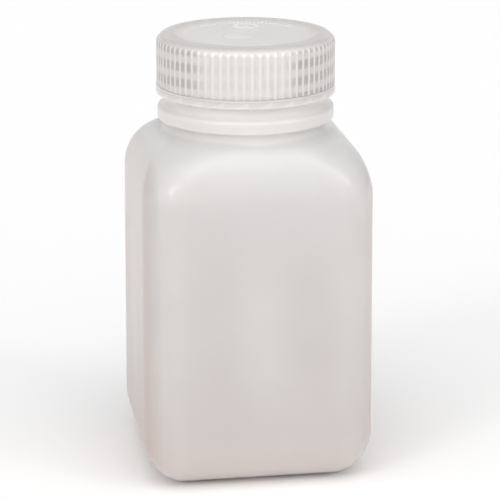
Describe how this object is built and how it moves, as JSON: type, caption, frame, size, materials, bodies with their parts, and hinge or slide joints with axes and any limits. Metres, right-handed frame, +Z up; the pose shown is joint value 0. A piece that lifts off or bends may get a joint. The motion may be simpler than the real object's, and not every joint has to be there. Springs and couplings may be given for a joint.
{
  "type": "reagent bottle",
  "caption": "Square wide-mouth plastic reagent bottle with a ribbed screw cap and a tamper-evident band.",
  "frame": {"origin": "centre of the base, on the neck's axis, at the height of the surface that the bottle stands on", "axes": "+Z up along the neck's axis; X and Y square to the four flat sides"},
  "size_m": [0.0742, 0.0742, 0.1419],
  "materials": {
    "natural_hdpe": "translucent natural high-density polyethylene, satin moulded skin",
    "natural_polypropylene": "translucent natural polypropylene, half-gloss moulded skin",
    "white_ldpe": "soft white low-density polyethylene sheet"
  },
  "bodies": {
    "bottle": {"bottle": "natural_hdpe"},
    "sealing_disc": {"sealing_disc": "white_ldpe"},
    "screw_cap": {"screw_cap": "natural_polypropylene"},
    "tamper_band": {"tamper_band": "natural_polypropylene"}
  },
  "joints": [
    {"name": "closure_lift", "type": "slide", "parent": "bottle", "child": "sealing_disc", "axis": [0, 0, 1], "range_m": [0, 0.023]},
    {"name": "cap_turn", "type": "hinge", "parent": "sealing_disc", "child": "screw_cap", "pos_m": [0, 0, 0.126], "axis": [0, 0, 1], "range_deg": [0, 1620]},
    {"name": "band_drop", "type": "slide", "parent": "bottle", "child": "tamper_band", "axis": [0, 0, -1], "range_m": [0, 0.0022]}
  ],
  "couplings": [
    {"joint": "closure_lift", "follows": "cap_turn", "m_per_rad": 0.00081169}
  ]
}
